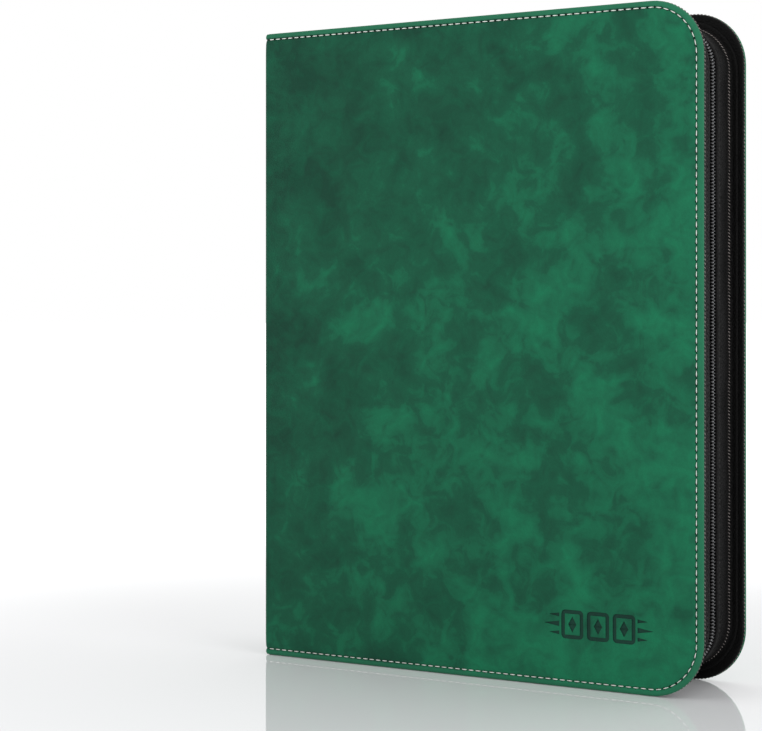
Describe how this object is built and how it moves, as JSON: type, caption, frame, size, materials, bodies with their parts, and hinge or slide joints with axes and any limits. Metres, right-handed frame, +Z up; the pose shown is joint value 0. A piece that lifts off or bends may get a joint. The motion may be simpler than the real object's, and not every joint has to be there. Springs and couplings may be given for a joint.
{
  "type": "trading card binder",
  "caption": "Zip-around trading card binder with padded leather-look covers, fabric gussets, a ring mechanism and nine-pocket pages that fan open with the covers.",
  "frame": {"origin": "bottom centre of the closed binder's box", "axes": "+Z up the binder as it stands on its lower edge, +X from the spine to the fore-edge, -Y out of the front cover"},
  "size_m": [0.262, 0.06, 0.348],
  "materials": {
    "cover_leather": "nubuck-like pull-up polyurethane leather, cloudy green",
    "padding_foam": "closed-cell foam sheet",
    "greyboard": "pressed greyboard",
    "lining": "black twill lining with a grained margin",
    "gusset_fabric": "black grained coated fabric",
    "zip_tape": "black woven zip tape",
    "zip_coil": "black nylon coil with grey stitches",
    "zip_metal": "black enamelled zinc",
    "ring_plate_steel": "dark enamelled spring steel",
    "nickel_steel": "bright nickel plate",
    "page_sheet": "white polypropylene sheet",
    "pocket_film": "clear polypropylene film",
    "card_stock": null
  },
  "bodies": {
    "spine": {"spine_leather": "cover_leather", "spine_board": "greyboard", "spine_lining": "lining", "front_hinge_fold": "cover_leather", "front_spine_tuck": "gusset_fabric", "back_hinge_fold": "cover_leather", "back_spine_tuck": "gusset_fabric", "ring_plate": "ring_plate_steel", "plate_rivets": "nickel_steel"},
    "front_cover": {"front_cover_leather": "cover_leather", "front_cover_foam": "padding_foam", "front_cover_board": "greyboard", "front_cover_lining": "lining", "front_gusset": "gusset_fabric", "front_zip_tape": "zip_tape", "front_zip_coil": "zip_coil"},
    "back_cover": {"back_cover_leather": "cover_leather", "back_cover_foam": "padding_foam", "back_cover_board": "greyboard", "back_cover_lining": "lining", "back_gusset": "gusset_fabric", "back_zip_tape": "zip_tape", "back_zip_coil": "zip_coil", "zip_end_stops": "zip_metal"},
    "zip_slider": {"slider_body": "zip_metal", "slider_bail": "zip_metal"},
    "zip_puller": {"zip_puller": "zip_metal"},
    "front_rings": {"front_ring_blade": "ring_plate_steel", "front_half_ring_lower": "nickel_steel", "front_half_ring_middle": "nickel_steel", "front_half_ring_upper": "nickel_steel"},
    "back_rings": {"back_ring_blade": "ring_plate_steel", "back_half_ring_lower": "nickel_steel", "back_half_ring_middle": "nickel_steel", "back_half_ring_upper": "nickel_steel"},
    "front_leaf_2": {"front_leaf_2_sheets": "page_sheet", "front_leaf_2_pockets": "pocket_film", "front_leaf_2_cards": "card_stock", "front_leaf_2_binding": "page_sheet"},
    "front_leaf_1": {"front_leaf_1_sheets": "page_sheet", "front_leaf_1_pockets": "pocket_film", "front_leaf_1_cards": "card_stock", "front_leaf_1_binding": "page_sheet"},
    "front_stack": {"front_stack_sheets": "page_sheet", "front_stack_pockets": "pocket_film", "front_stack_cards": "card_stock", "front_stack_binding": "page_sheet"},
    "back_leaf_2": {"back_leaf_2_sheets": "page_sheet", "back_leaf_2_pockets": "pocket_film", "back_leaf_2_cards": "card_stock", "back_leaf_2_binding": "page_sheet"},
    "back_leaf_1": {"back_leaf_1_sheets": "page_sheet", "back_leaf_1_pockets": "pocket_film", "back_leaf_1_cards": "card_stock", "back_leaf_1_binding": "page_sheet"},
    "back_stack": {"back_stack_sheets": "page_sheet", "back_stack_pockets": "pocket_film", "back_stack_cards": "card_stock", "back_stack_binding": "page_sheet"}
  },
  "joints": [
    {"name": "front_hinge", "type": "hinge", "parent": "spine", "child": "front_cover", "pos_m": [-0.131, -0.03, 0.174], "axis": [0, 0, -1], "range_deg": [0, 90], "deforming": ["front_hinge_fold", "front_spine_tuck"]},
    {"name": "back_hinge", "type": "hinge", "parent": "spine", "child": "back_cover", "pos_m": [-0.131, 0.03, 0.174], "axis": [0, 0, 1], "range_deg": [0, 90], "deforming": ["back_hinge_fold", "back_spine_tuck"]},
    {"name": "ring_open", "type": "hinge", "parent": "spine", "child": "front_rings", "pos_m": [-0.1249, -0.0099, 0.174], "axis": [0, 0, -1], "range_deg": [0, 9], "deforming": ["front_leaf_2_binding", "front_leaf_1_binding", "front_stack_binding", "back_leaf_2_binding", "back_leaf_1_binding", "back_stack_binding"]},
    {"name": "back_ring_open", "type": "hinge", "parent": "spine", "child": "back_rings", "pos_m": [-0.1249, 0.0099, 0.174], "axis": [0, 0, 1], "range_deg": [0, 9]},
    {"name": "zip_slide", "type": "slide", "parent": "back_cover", "child": "zip_slider", "axis": [1, 0, 0], "range_m": [0, 0.19], "deforming": ["front_zip_tape", "front_zip_coil", "back_zip_tape", "back_zip_coil"]},
    {"name": "puller_swing", "type": "hinge", "parent": "zip_slider", "child": "zip_puller", "pos_m": [-0.105, 0.0016, 0.3432], "axis": [0, -1, 0], "range_deg": [0, 150]},
    {"name": "front_stack_turn", "type": "hinge", "parent": "spine", "child": "front_stack", "pos_m": [-0.104, 0, 0.174], "axis": [0, 0, -1], "range_deg": [0, 90]},
    {"name": "front_leaf_1_turn", "type": "hinge", "parent": "spine", "child": "front_leaf_1", "pos_m": [-0.104, 0, 0.174], "axis": [0, 0, -1], "range_deg": [0, 72]},
    {"name": "front_leaf_2_turn", "type": "hinge", "parent": "spine", "child": "front_leaf_2", "pos_m": [-0.104, 0, 0.174], "axis": [0, 0, -1], "range_deg": [0, 52.5]},
    {"name": "back_stack_turn", "type": "hinge", "parent": "spine", "child": "back_stack", "pos_m": [-0.104, 0, 0.174], "axis": [0, 0, 1], "range_deg": [0, 90]},
    {"name": "back_leaf_1_turn", "type": "hinge", "parent": "spine", "child": "back_leaf_1", "pos_m": [-0.104, 0, 0.174], "axis": [0, 0, 1], "range_deg": [0, 72]},
    {"name": "back_leaf_2_turn", "type": "hinge", "parent": "spine", "child": "back_leaf_2", "pos_m": [-0.104, 0, 0.174], "axis": [0, 0, 1], "range_deg": [0, 52.5]}
  ],
  "couplings": [
    {"joint": "back_ring_open", "follows": "ring_open", "ratio": 1},
    {"joint": "front_stack_turn", "follows": "front_hinge", "ratio": 1},
    {"joint": "front_leaf_1_turn", "follows": "front_hinge", "ratio": 0.8},
    {"joint": "front_leaf_2_turn", "follows": "front_hinge", "ratio": 0.58},
    {"joint": "back_stack_turn", "follows": "back_hinge", "ratio": 1},
    {"joint": "back_leaf_1_turn", "follows": "back_hinge", "ratio": 0.8},
    {"joint": "back_leaf_2_turn", "follows": "back_hinge", "ratio": 0.58}
  ]
}
